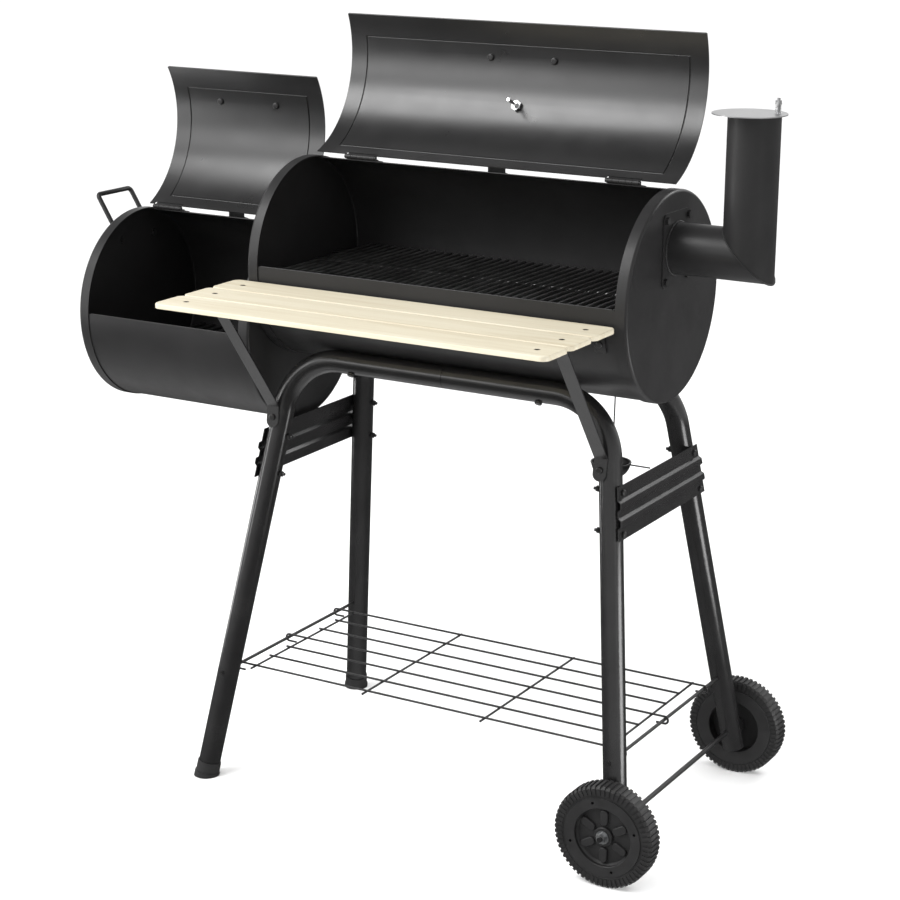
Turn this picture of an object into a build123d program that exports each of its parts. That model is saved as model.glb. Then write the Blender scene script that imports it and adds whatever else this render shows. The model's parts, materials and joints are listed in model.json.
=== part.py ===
"""Barrel charcoal grill with an offset firebox, lids standing open.

Units are millimetres. +Z is up, +X runs along the barrel towards the chimney and -Y is the
front, where the wooden shelf is. Parts are drawn about the middle of the barrel, and written
out about the middle of the whole grill's footprint on the floor.

An angle on a barrel is measured at its axis: 0 is the front, 90 the top, 180 the back and
270 the bottom.
"""

import math
import os

from build123d import *

# ---------------------------------------------------------------- barrel and firebox
BARREL_R = 160.0  # outside of the rolled sheet, the same for the barrel and the firebox
SHEET = 1.5
BARREL_HALF = 333.0  # middle of the barrel to the outside of an end cap
BARREL_Z = 850.0
FIREBOX_LEFT = -678.0
FIREBOX_RIGHT = -333.6
FIREBOX_Z = 734.0
FRONT_EDGE = 2.2  # angle of the front edge of the opening
BACK_EDGE = 98.5  # angle of the hinge edge of the opening

CAP_R = 161.8
CAP_GAP = 0.2  # slip of an end cap over the rolled sheet
CAP_SKIRT = 18.0
CAP_THICK = 1.5

# ---------------------------------------------------------------- lids
LID_IN = 162.0
LID_THICK = 1.2
LID_FRONT = 2.8
LID_BACK = 95.2
LID_HALF = 319.5
FIREBOX_LID = (-664.5, -359.0)
HINGE_R = 164.5
HINGE_ANGLE = 96.5
MAIN_OPEN = 155.0  # degrees from closed to the stop
FIREBOX_OPEN = 146.0
BEAD_IN = 30.5  # bead frame, inwards from the lid's ends
BEAD_FRONT = 16.0
BEAD_BACK = 86.8
KNUCKLE_R = 4.0
HINGE_PIN_R = 1.95
HINGE_BORE_R = 2.0
HINGE_LENGTH = 55.0
HANDLE_SPAN = 114.0
HANDLE_ANGLE = 23.5
THERMOMETER_ANGLE = 50.0

# ---------------------------------------------------------------- frame
TUBE_R = 18.0
TUBE_WALL = 1.2
TOP_TUBE_Y = 104.7
TOP_TUBE_Z = 705.55
TOP_CORNER_X = 281.6
BEND_R = 100.0
FOOT_Y = 231.5
LEFT_FOOT_X = -384.0
RIGHT_FOOT_X = 376.0
FRAME_BOLT_X = 168.0
BRACE_Z = (506.0, 586.0)
BRACE_BOLT_Z = (514.0, 575.0)
BRACE_RIBS = (26.5, 52.5)  # up the panel from its lower edge

# ---------------------------------------------------------------- wheels
WHEEL_R = 81.0
WHEEL_WIDTH = 34.0
WHEEL_OUT_Y = 263.0
AXLE_X = 365.0
AXLE_R = 4.0
AXLE_HALF = 272.5
AXLE_RUNNING = 0.05
LUGS = 60
DISH_R = 46.0  # hollow round the hub on the outer side
DISH_DEEP = 9.0
RECESS_R = 43.5  # hollow on the inner side, where the leg ends
WEB_INNER = 15.0  # from the outer face to the inner side of the web
PETALS = 6

# ---------------------------------------------------------------- bottom shelf
ROD_Z = 181.5
ROD_R = 2.7
SHELF_WIRE_R = 1.8
SHELF_EYE_R = 5.9
SHELF_TAIL = 14.0
SHELF_LEFT = -325.0
SHELF_RIGHT = 328.0
SHELF_MIDDLE_Y = -21.5
SHELF_HALF_DEPTH = 150.5
HOOKED_WIRES = (0, 3, 6)
SHELF_WIRES = 7

# ---------------------------------------------------------------- front shelf
SLAT_TOP = 833.0
SLAT_THICK = 7.5
SLAT_DEPTH = 70.7
SLAT_GAP = 3.0
SLAT_LEFT = -351.0
SLAT_RIGHT = 319.4
SLAT_BACK_Y = -165.0
SLATS = 3
BRACKET_X = (-309.0, 287.0)
BRACKET_BOLT_X = (-306.0, 287.0)
SCREW_X = (-313.5, 287.0)
STRUT_FOOT_X = (-301.0, 287.0)
BRACKET_WIDTH = 20.0
BRACKET_THICK = 3.0
STRUT_WIDTH = 22.0
STRUT_TOP_Y = -294.0
STRUT_BOLT_Z = 609.0

# ---------------------------------------------------------------- chimney
PIPE_R = 39.0
PIPE_WALL = 1.5
PIPE_X = 450.0
PIPE_Z = 925.0
PIPE_TOP = 1131.0
DAMPER_R = 55.0
PIVOT = (480.0, 14.0)
DAMPER_CENTRE = (443.5, -3.0)
PIVOT_R = 2.5

# ---------------------------------------------------------------- grates and drip cup
GRATE_Z = 845.0
COAL_GRATE_Z = 755.0
FIREBOX_GRATE_Z = 672.0
CUP_X = 236.0
CUP_R = 31.0
CUP_DEEP = 25.0
CUP_RIM_Z = 579.0
DRAIN_X = 240.5
HOOK_Z = 632.4  # middle of the hook's curl
BAIL_Z = HOOK_Z - 0.7

# ---------------------------------------------------------------- side handle
HANDLE_ROD_R = 4.0
HANDLE_OUT = 47.0  # from the firebox's end to the grip
HANDLE_UP = 73.0

# ---------------------------------------------------------------- footprint of the whole grill
LEFT_END = FIREBOX_LEFT - HANDLE_OUT - HANDLE_ROD_R
RIGHT_END = DAMPER_CENTRE[0] + DAMPER_R
FRONT_END = SLAT_BACK_Y - SLATS * SLAT_DEPTH - (SLATS - 1) * SLAT_GAP
BACK_END = AXLE_HALF
SHIFT_X = -(LEFT_END + RIGHT_END) / 2
SHIFT_Y = -(FRONT_END + BACK_END) / 2

MAIN_AXIS = (0.0, BARREL_Z)
FIREBOX_AXIS = (0.0, FIREBOX_Z)


# ---------------------------------------------------------------- helpers
def yz(radius, angle, axis=(0.0, 0.0)):
    """Y and Z of a point on a barrel section."""
    a = math.radians(angle)
    return (axis[0] - radius * math.cos(a), axis[1] + radius * math.sin(a))


def on_yz(sketch, x, length):
    """Extrude a sketch drawn as (Y, Z) along +X from x."""
    return Plane(origin=(x, 0, 0), x_dir=(0, 1, 0), z_dir=(1, 0, 0)) * extrude(sketch, length)


def arc_sheet(inner, outer, start, end, x0, x1, axis=(0.0, 0.0)):
    """Rolled sheet: a ring sector of a barrel section, from x0 to x1."""
    middle = (start + end) / 2
    edges = [
        ThreePointArc(yz(outer, start, axis), yz(outer, middle, axis), yz(outer, end, axis)),
        Line(yz(outer, end, axis), yz(inner, end, axis)),
        ThreePointArc(yz(inner, end, axis), yz(inner, middle, axis), yz(inner, start, axis)),
        Line(yz(inner, start, axis), yz(outer, start, axis)),
    ]
    return on_yz(make_face(edges), x0, x1 - x0)


def rod(start, end, radius):
    """Round bar between two points."""
    a = Vector(*start)
    b = Vector(*end)
    plane = Plane(origin=a, z_dir=(b - a).normalized())
    return extrude(plane * Circle(radius), (b - a).length)


def pipe(start, end, outer, inner):
    """Tube between two points."""
    return rod(start, end, outer) - rod(start, end, inner)


def along_x(radius, x0, x1, y, z):
    return rod((x0, y, z), (x1, y, z), radius)


def hex_prism(at, direction, across, height):
    """Hexagonal head or nut that stands on a plane."""
    plane = Plane(origin=Vector(*at), z_dir=Vector(*direction).normalized())
    return extrude(plane * RegularPolygon(across / math.sqrt(3), 6), height)


def dome_head(at, direction, radius, height):
    """Low round screw head that stands on a plane."""
    plane = Plane(origin=Vector(*at), z_dir=Vector(*direction).normalized())
    head = extrude(plane * Circle(radius), height)
    return fillet(head.faces().sort_by(Axis(at, direction))[-1].edges(), height * 0.7)


def bolt(head_at, direction, grip, radius=2.9, stick_out=5.0, nut=True, round_head=False):
    """Bolt whose head stands on head_at, with the nut the grip away along direction."""
    d = Vector(*direction).normalized()
    start = Vector(*head_at)
    if round_head:
        body = dome_head(tuple(start), tuple(d * -1), radius * 2.0, radius * 1.2)
    else:
        body = hex_prism(tuple(start), tuple(d * -1), radius * 3.4, radius * 1.3)
    body += rod(tuple(start), tuple(start + d * (grip + stick_out)), radius)
    if nut:
        body += hex_prism(tuple(start + d * grip), tuple(d), radius * 3.4, radius * 1.5)
    return body


def drill(part, at, direction, radius, length):
    """Cut a round hole centred on a point."""
    d = Vector(*direction).normalized()
    a = Vector(*at) - d * (length / 2)
    return part - rod(tuple(a), tuple(a + d * length), radius)


def turned(points, axis_origin, axis_direction, x_dir):
    """Revolve a closed outline of (radius, height) points about an axis."""
    plane = Plane(origin=axis_origin, x_dir=x_dir, z_dir=Vector(*x_dir).cross(Vector(*axis_direction)))
    face = plane * make_face(Polyline(*points, close=True))
    return revolve(face, Axis(axis_origin, axis_direction), 360)


def rotated_open(part, axis, degrees):
    """Turn a closed lid's part about its hinge pin to the open rest position."""
    py, pz = yz(HINGE_R, HINGE_ANGLE, axis)
    return part.rotate(Axis((0, py, pz), (1, 0, 0)), -degrees)


# ---------------------------------------------------------------- barrel and firebox shells
def body_sheet(x0, x1, axis):
    """Rolled sheet with the lid opening left out, with a folded lip along the front edge."""
    inner = BARREL_R - SHEET
    sheet = arc_sheet(inner, BARREL_R, BACK_EDGE, 360 + FRONT_EDGE, x0, x1, axis)
    y, z = yz(inner + 0.7, FRONT_EDGE, axis)
    return sheet + along_x(1.4, x0 + 20, x1 - 20, y + 0.4, z)


def end_cap(face_x, outward, axis):
    """Flat end with a rounded rim and a skirt that laps over the rolled sheet."""
    depth = CAP_SKIRT + CAP_THICK
    start = (face_x, axis[0], axis[1])
    back = (face_x - outward * depth, axis[0], axis[1])
    shell = fillet(rod(start, back, CAP_R).edges().filter_by(lambda e: abs(e.center().X - face_x) < 1), 4.5)
    hollow_start = (face_x - outward * CAP_THICK, axis[0], axis[1])
    hollow_end = (face_x - outward * (depth + 5), axis[0], axis[1])
    hollow = rod(hollow_start, hollow_end, BARREL_R + CAP_GAP)
    edge = hollow.edges().filter_by(lambda e: abs(e.center().X - hollow_start[0]) < 1)
    return shell - fillet(edge, 3.0)


FLANGE_BOLTS = [(y, PIPE_Z + z) for y in (-38.0, 38.0) for z in (-46.0, 46.0)]
JOINT_BOLTS = [(y, z) for y in (-92.0, 92.0) for z in (770.0, 815.0)]
SMOKE_HOLE = Pos(0, 0, 792) * Box(20, 140, 60)
SIDE_HANDLE_BOLTS = [(-44.0, FIREBOX_Z + 112.0), (44.0, FIREBOX_Z + 112.0)]
VENT_Z = FIREBOX_Z - 70.0
VENT_ANGLES = (90.0, 210.0, 330.0)


def main_cap_right():
    cap = end_cap(BARREL_HALF, 1, MAIN_AXIS)
    cap = drill(cap, (BARREL_HALF, 0, PIPE_Z), (1, 0, 0), PIPE_R - PIPE_WALL, 20)
    for y, z in FLANGE_BOLTS:
        cap = drill(cap, (BARREL_HALF, y, z), (1, 0, 0), 3.0, 20)
    return cap


def main_cap_left():
    cap = end_cap(-BARREL_HALF, -1, MAIN_AXIS) - Pos(-BARREL_HALF, 0, 0) * SMOKE_HOLE
    for y, z in JOINT_BOLTS:
        cap = drill(cap, (-BARREL_HALF, y, z), (1, 0, 0), 3.0, 20)
    return cap


def firebox_cap_right():
    cap = end_cap(FIREBOX_RIGHT, 1, FIREBOX_AXIS) - Pos(FIREBOX_RIGHT, 0, 0) * SMOKE_HOLE
    for y, z in JOINT_BOLTS:
        cap = drill(cap, (FIREBOX_RIGHT, y, z), (1, 0, 0), 3.0, 20)
    return cap


def firebox_cap_left():
    cap = end_cap(FIREBOX_LEFT, -1, FIREBOX_AXIS)
    for y, z in SIDE_HANDLE_BOLTS:
        cap = drill(cap, (FIREBOX_LEFT, y, z), (1, 0, 0), 3.0, 12)
    cap = drill(cap, (FIREBOX_LEFT, 0, VENT_Z), (1, 0, 0), 2.6, 12)
    for angle in VENT_ANGLES:
        y, z = yz(24.0, angle, (0.0, VENT_Z))
        cap = drill(cap, (FIREBOX_LEFT, y, z), (1, 0, 0), 10.0, 12)
    return cap


def air_shutter():
    """Round shutter with three holes that turns over the firebox's air holes."""
    x0 = FIREBOX_LEFT - 2.0
    disc = rod((x0, 0, VENT_Z), (x0 + 1.6, 0, VENT_Z), 40.0)
    disc = drill(disc, (x0, 0, VENT_Z), (1, 0, 0), 2.55, 12)
    for angle in VENT_ANGLES:
        y, z = yz(24.0, angle + 60.0, (0.0, VENT_Z))
        disc = drill(disc, (x0, y, z), (1, 0, 0), 10.0, 12)
    tab = Pos(x0 - 5.2, 0, VENT_Z + 30) * Box(12, 12, 1.6)
    return disc + tab


def shutter_bolt():
    return bolt((FIREBOX_LEFT - 2.4, 0, VENT_Z), (1, 0, 0), 4.2, radius=2.5, stick_out=5)


def main_body():
    body = body_sheet(-BARREL_HALF + 4.8, BARREL_HALF - 4.8, MAIN_AXIS)
    for x, side in frame_bolt_sites():
        at, direction = frame_bolt_line(x, side)
        body = drill(body, at, direction, 3.0, 80)
    for x in BRACKET_BOLT_X:
        at, direction = bracket_bolt_line(x)
        body = drill(body, at, direction, 2.7, 30)
    return drill(body, (DRAIN_X, 0, BARREL_Z - BARREL_R), (0, 0, 1), 6.0, 12)


def firebox_body():
    return body_sheet(FIREBOX_LEFT + 4.8, FIREBOX_RIGHT - 4.8, FIREBOX_AXIS)


def joint_bolts():
    """Bolts that hold the firebox to the end of the barrel."""
    bolts = [bolt((-BARREL_HALF + CAP_THICK, y, z), (-1, 0, 0), 2 * CAP_THICK + 0.6) for y, z in JOINT_BOLTS]
    return Compound(bolts)


def drain_spout():
    """Eyelet in the bottom of the barrel that fat runs out of."""
    low = BARREL_Z - BARREL_R
    tube = pipe((DRAIN_X, 0, low - 2.4), (DRAIN_X, 0, low + 4.6), 5.9, 4.7)
    return tube + pipe((DRAIN_X, 0, low - 2.4), (DRAIN_X, 0, low - 0.3), 7.4, 4.7)


# ---------------------------------------------------------------- lids
def lid_sheet(x0, x1, axis):
    """Rolled lid with hemmed edges and a raised bead frame, closed."""
    outer = LID_IN + LID_THICK
    lid = arc_sheet(LID_IN, outer, LID_FRONT, LID_BACK, x0, x1, axis)
    hem = LID_IN + 1.5
    y, z = yz(hem, LID_FRONT + 0.3, axis)
    lid += along_x(1.5, x0 + 1.5, x1 - 1.5, y, z)
    for x in (x0 + 1.5, x1 - 1.5):
        lid += arc_rod(hem, 1.5, LID_FRONT + 0.3, LID_BACK - 1.0, x, axis)
    lid += bead_frame(2.3, outer - 0.5, x0 + BEAD_IN, x1 - BEAD_IN, axis)
    lid -= rod((x0 - 5, axis[0], axis[1]), (x1 + 5, axis[0], axis[1]), LID_IN)
    return lid - bead_frame(1.3, LID_IN + 0.3, x0 + BEAD_IN, x1 - BEAD_IN, axis)


def arc_rod(path_r, radius, start, end, x, axis):
    """Round bar bent along a barrel section at x."""
    y, z = yz(path_r, start, axis)
    plane = Plane(origin=(x, y, z), x_dir=(1, 0, 0), z_dir=tangent(start))
    return revolve(plane * Circle(radius), Axis((x, axis[0], axis[1]), (-1, 0, 0)), end - start)


def tangent(angle):
    a = math.radians(angle)
    return (0, math.sin(a), math.cos(a))


def bead_frame(radius, centre, x0, x1, axis):
    """Four-sided ridge pressed into a lid."""
    frame = None
    for angle in (BEAD_FRONT, BEAD_BACK):
        y, z = yz(centre, angle, axis)
        side = along_x(radius, x0, x1, y, z)
        for x in (x0, x1):
            side += Pos(x, y, z) * Sphere(radius)
        frame = side if frame is None else frame + side
    for x in (x0, x1):
        frame += arc_rod(centre, radius, BEAD_FRONT, BEAD_BACK, x, axis)
    return frame


def lid_point(radius, angle, axis):
    """Point and outward direction on a closed lid's section."""
    y, z = yz(radius, angle, axis)
    oy, oz = yz(1.0, angle)
    return (y, z), (0, oy, oz)


def handle_sites(middle_x, axis):
    (y, z), outward = lid_point(LID_IN, HANDLE_ANGLE, axis)
    return [((middle_x + s * HANDLE_SPAN / 2, y, z), outward) for s in (-1, 1)]


def main_lid_closed():
    lid = lid_sheet(-LID_HALF, LID_HALF, MAIN_AXIS)
    for x in MAIN_HINGES:
        lid -= hinge_notch(x, MAIN_AXIS)
    for at, outward in handle_sites(0, MAIN_AXIS):
        lid = drill(lid, at, outward, 3.0, 20)
    (y, z), outward = lid_point(LID_IN, THERMOMETER_ANGLE, MAIN_AXIS)
    return drill(lid, (0, y, z), outward, 4.6, 20)


def firebox_lid_closed():
    x0, x1 = FIREBOX_LID
    lid = lid_sheet(x0, x1, FIREBOX_AXIS)
    for x in FIREBOX_HINGES:
        lid -= hinge_notch(x, FIREBOX_AXIS)
    for at, outward in handle_sites((x0 + x1) / 2, FIREBOX_AXIS):
        lid = drill(lid, at, outward, 3.0, 20)
    return lid


def lid_handle(middle_x, axis, grip_r):
    """Straight grip held off the lid by two posts, closed position."""
    (y, z), (_, oy, oz) = lid_point(LID_IN + LID_THICK, HANDLE_ANGLE, axis)
    stand = 40.0
    gy, gz = y + oy * stand, z + oz * stand
    half = HANDLE_SPAN / 2
    grip = along_x(grip_r, middle_x - half - 22, middle_x + half + 22, gy, gz)
    grip = fillet(grip.edges(), grip_r * 0.6)
    for s in (-1, 1):
        x = middle_x + s * half
        root = (x, y + oy * 0.2, z + oz * 0.2)
        grip += rod(root, (x, gy, gz), 6.0)
        grip += rod(root, (x, y + oy * 3.2, z + oz * 3.2), 11.0)
        grip = drill(grip, root, (0, oy, oz), 3.0, 30)
    return grip


def lid_handle_screws(middle_x, axis):
    """Screws that hold the handle, with their heads inside the lid."""
    screws = []
    for at, outward in handle_sites(middle_x, axis):
        washer_at = Vector(*at) - Vector(*outward) * 0.1
        screw = bolt(tuple(washer_at), outward, 10, radius=2.9, stick_out=3, nut=False, round_head=True)
        screws.append(screw)
    return Compound(screws)


def thermometer():
    """Round dial on the lid with a probe that reaches inside, closed position."""
    (y, z), (_, oy, oz) = lid_point(LID_IN + LID_THICK, THERMOMETER_ANGLE, MAIN_AXIS)
    out = Vector(0, oy, oz)
    base = Vector(0, y, z) + out * 2.6
    case = rod(tuple(base), tuple(base + out * 11), 30.0)
    case = fillet(case.edges(), 2.2)
    recess = rod(tuple(base + out * 9), tuple(base + out * 20), 26.5)
    neck = rod(tuple(base - out * 2.3), tuple(base + out * 1), 11.0)
    probe = rod(tuple(base - out * 16), tuple(base), 4.4) + rod(tuple(base - out * 37), tuple(base), 2.6)
    return (case - recess) + neck + probe


def thermometer_dial():
    (y, z), (_, oy, oz) = lid_point(LID_IN + LID_THICK, THERMOMETER_ANGLE, MAIN_AXIS)
    out = Vector(0, oy, oz)
    base = Vector(0, y, z) + out * 11.8
    face = rod(tuple(base), tuple(base + out * 0.8), 26.2)
    hub = rod(tuple(base), tuple(base + out * 1.9), 2.2)
    across = Vector(1, 0, 0)
    needle = Plane(origin=base + out * 0.9 + across * 7, x_dir=across, z_dir=out) * Box(22, 1.6, 0.6)
    return face + hub + needle


def thermometer_nut():
    """Nut that clamps the probe from inside the lid."""
    (y, z), (_, oy, oz) = lid_point(LID_IN, THERMOMETER_ANGLE, MAIN_AXIS)
    start = (0, y - oy * 0.6, z - oz * 0.6)
    nut = hex_prism(start, (0, -oy, -oz), 15.0, 5.5)
    return drill(nut, start, (0, oy, oz), 4.5, 40)


# ---------------------------------------------------------------- hinges
MAIN_HINGES = (-234.0, 234.0)
FIREBOX_HINGES = (-625.0, -398.0)
FIREBOX_STOP_X = -502.0
KNUCKLE_STEP = HINGE_LENGTH / 5


def hinge_notch(x, axis):
    """Clearance cut in a lid's hinge edge."""
    return arc_sheet(155, 175, 93.4, 99, x - HINGE_LENGTH / 2 - 2, x + HINGE_LENGTH / 2 + 2, axis)


def hinge_leaf(x, axis, moving):
    """One leaf with its knuckles, closed position."""
    half = HINGE_LENGTH / 2 - 0.3
    if moving:
        inner, far, near = LID_IN + LID_THICK + 0.1, 88.2, 94.7
        indices = (1, 3)
        arm = (94.6, 95.7)
    else:
        inner, far, near = BARREL_R + 0.1, 106.0, 98.4
        indices = (0, 2, 4)
        arm = (97.3, 98.5)
    leaf = arc_sheet(inner, inner + 1.5, min(far, near), max(far, near), x - half, x + half, axis)
    py, pz = yz(HINGE_R, HINGE_ANGLE, axis)
    for i in indices:
        x0 = x - HINGE_LENGTH / 2 + i * KNUCKLE_STEP + 0.25
        x1 = x0 + KNUCKLE_STEP - 0.5
        leaf += arc_sheet(inner, inner + 1.5, arm[0], arm[1], x0, x1, axis)
        leaf += along_x(KNUCKLE_R, x0, x1, py, pz)
    leaf -= along_x(HINGE_BORE_R, x - half - 5, x + half + 5, py, pz)
    rivet_angle = (far + near) / 2 + (-1.0 if moving else 1.4)
    for dx in (-18.0, 18.0):
        (y, z), outward = lid_point(inner + 1.5, rivet_angle, axis)
        leaf += dome_head((x + dx, y, z), outward, 3.4, 1.8)
    return leaf


def hinge_pins(hinges, axis):
    """Headed pins; the heads stand outside the end knuckles."""
    y, z = yz(HINGE_R, HINGE_ANGLE, axis)
    pins = []
    for x in hinges:
        pin = along_x(HINGE_PIN_R, x - HINGE_LENGTH / 2 - 1.5, x + HINGE_LENGTH / 2 + 1.5, y, z)
        for s in (-1, 1):
            end = x + s * (HINGE_LENGTH / 2 + 0.1)
            pin += rod((end, y, z), (end + s * 1.6, y, z), 3.2)
        pins.append(pin)
    return Compound(pins)


def lid_stop(middle_x, axis, open_angle):
    """Bracket on the back of a barrel that the open lid leans on."""
    py, pz = yz(HINGE_R, HINGE_ANGLE)
    a = math.radians(-open_angle)
    cy = py - py * math.cos(a) + pz * math.sin(a)
    cz = pz - py * math.sin(a) - pz * math.cos(a)
    y0, y1 = 47.0, 50.0
    reach = LID_IN + LID_THICK + 0.45
    top = cz - math.sqrt(reach**2 - (y0 - cy) ** 2)
    low = math.sqrt((BARREL_R + 1.2) ** 2 - y1**2)
    riser = Pos(middle_x, axis[0] + (y0 + y1) / 2, axis[1] + (top + low) / 2) * Box(30, y1 - y0, top - low)
    foot = arc_sheet(BARREL_R + 0.1, BARREL_R + 3.1, 107.2, 116.0, middle_x - 15, middle_x + 15, axis)
    return riser + foot


# ---------------------------------------------------------------- frame
def leg_x(side_x, z):
    """Middle of a leg at a height; side_x is the foot's X."""
    corner = math.copysign(TOP_CORNER_X, side_x)
    return side_x + (corner - side_x) * z / TOP_TUBE_Z


def leg_y(side_y, z):
    return side_y * (FOOT_Y + (TOP_TUBE_Y - FOOT_Y) * z / TOP_TUBE_Z)


def bent_tube(side_x, side_y, bottom_z):
    """Half of a U frame: half of the top bar, the bend and a leg down to bottom_z."""
    start = (math.copysign(0.4, side_x), side_y * TOP_TUBE_Y, TOP_TUBE_Z)
    corner = (math.copysign(TOP_CORNER_X, side_x), side_y * TOP_TUBE_Y, TOP_TUBE_Z)
    foot = (leg_x(side_x, bottom_z), leg_y(side_y, bottom_z), bottom_z)
    path = FilletPolyline(start, corner, foot, radius=BEND_R)
    section = Plane(origin=start, z_dir=(math.copysign(1, side_x), 0, 0))
    outer = sweep(section * Circle(TUBE_R), path=path)
    inner = sweep(section * Circle(TUBE_R - TUBE_WALL), path=path)
    tube = outer - inner
    return drill_frame(tube, side_x, side_y)


def frame_bolt_sites():
    return [(x, side) for x in (-FRAME_BOLT_X, FRAME_BOLT_X) for side in (-1, 1)]


def frame_bolt_line(x, side):
    """Middle of the tube and the direction to the barrel's axis at a frame bolt."""
    tube = Vector(x, side * TOP_TUBE_Y, TOP_TUBE_Z)
    direction = (Vector(x, 0, BARREL_Z) - tube).normalized()
    return tuple(tube), tuple(direction)


def brace_bolt_sites(side_x):
    """Middle of the leg at each brace bolt."""
    return [(leg_x(side_x, z), leg_y(s, z), z) for s in (-1, 1) for z in BRACE_BOLT_Z]


def strut_bolt_site(index):
    """Where a strut's lower bolt crosses the front of its leg."""
    return (STRUT_FOOT_X[index], leg_y(-1, STRUT_BOLT_Z), STRUT_BOLT_Z)


def drill_frame(tube, side_x, side_y):
    right = side_x > 0
    for x, side in frame_bolt_sites():
        if side == side_y and (x > 0) == right:
            at, direction = frame_bolt_line(x, side)
            tube = drill(tube, at, direction, 3.0, 60)
    for at in brace_bolt_sites(side_x):
        if at[1] * side_y > 0:
            tube = drill(tube, at, (1, 0, 0), 2.7, 60)
    if side_y < 0:
        at = strut_bolt_site(1 if right else 0)
        tube = drill(tube, at, (0, 1, 0), 2.7, 60)
    rod_at = (leg_x(side_x, ROD_Z), leg_y(side_y, ROD_Z), ROD_Z)
    tube = drill(tube, rod_at, (0, 1, 0), ROD_R + 0.1, 60)
    if right:
        tube = drill(tube, (AXLE_X, leg_y(side_y, WHEEL_R), WHEEL_R), (0, 1, 0), AXLE_R + 0.1, 80)
    return tube


def frame_sleeve(side_y):
    """Short tube inside the top bar that joins its two halves."""
    y, z = side_y * TOP_TUBE_Y, TOP_TUBE_Z
    inner = TUBE_R - TUBE_WALL - 0.1
    return pipe((-45, y, z), (45, y, z), inner, inner - 1.5)


def frame_bolts():
    """Long bolts up through the top bars into the barrel, nuts inside."""
    bolts = []
    for x, side in frame_bolt_sites():
        tube, direction = frame_bolt_line(x, side)
        head = Vector(*tube) - Vector(*direction) * (TUBE_R + 0.1)
        bolts.append(bolt(tuple(head), direction, 2 * TUBE_R + SHEET + 0.8, stick_out=4))
    return Compound(bolts)


def leg_direction(side_x, side_y):
    low = Vector(leg_x(side_x, 0), leg_y(side_y, 0), 0)
    high = Vector(leg_x(side_x, 100), leg_y(side_y, 100), 100)
    return (high - low).normalized(), low


def foot_cap(side_y):
    """Plastic foot under a left leg, cut flat on the floor."""
    direction, low = leg_direction(LEFT_FOOT_X, side_y)
    body = rod(tuple(low - direction * 12), tuple(low + direction * 24), TUBE_R + 1.6)
    body += rod(tuple(low - direction * 12), tuple(low + direction * 6), TUBE_R + 3.0)
    body -= rod(tuple(low + direction * 5), tuple(low + direction * 60), TUBE_R + 0.1)
    return body - Pos(low.X, low.Y, -50) * Box(120, 120, 100)


def brace(side_x):
    """Sheet panel with two pressed ribs on the outside of a pair of legs."""
    outward = math.copysign(1, side_x)
    z0, z1 = BRACE_Z
    slope = math.atan2(abs(leg_x(side_x, z0)) - abs(leg_x(side_x, z1)), z1 - z0)
    height = (z1 - z0) / math.cos(slope)
    profile = [(0, 0)]
    for middle in BRACE_RIBS:
        profile += [(0, middle - 8), (4.5, middle - 4.5), (4.5, middle + 4.5), (0, middle + 8)]
    profile += [(0, height)]
    back = [(x + 1.4, z) for x, z in reversed(profile)]
    outline = [(outward * x, z) for x, z in profile + back]
    low = (leg_x(side_x, z0) + outward * (TUBE_R + 0.3) / math.cos(slope), 0, z0)
    lean = (math.cos(slope), 0, outward * math.sin(slope))
    plane = Plane(origin=(low[0], 200, z0), x_dir=lean, z_dir=(0, -1, 0))
    panel = extrude(plane * make_face(Polyline(*outline, close=True)), 400)
    margin = 15.5
    reach0, reach1 = leg_y(1, z0) + margin, leg_y(1, z1) + margin
    corners = [(-reach0, z0 - 1), (reach0, z0 - 1), (reach1, z1 + 2), (-reach1, z1 + 2)]
    trim = make_face(Polyline(*corners, close=True))
    panel = panel & on_yz(trim, low[0] - 60, 120)
    for at in brace_bolt_sites(side_x):
        panel = drill(panel, at, (1, 0, 0), 2.7, 80)
    return panel


def brace_bolts():
    """Bolts through the braces and legs, round heads outside."""
    bolts = []
    for side_x in (LEFT_FOOT_X, RIGHT_FOOT_X):
        outward = math.copysign(1, side_x)
        slope = math.atan2(abs(side_x) - TOP_CORNER_X, TOP_TUBE_Z)
        for x, y, z in brace_bolt_sites(side_x):
            head_x = x + outward * ((TUBE_R + 1.9) / math.cos(slope) + 0.7)
            head = (head_x, y, z)
            grip = 2 * TUBE_R + 4.6
            bolts.append(bolt(head, (-outward, 0, 0), grip, radius=2.5, stick_out=8, round_head=True))
    return Compound(bolts)


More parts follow.
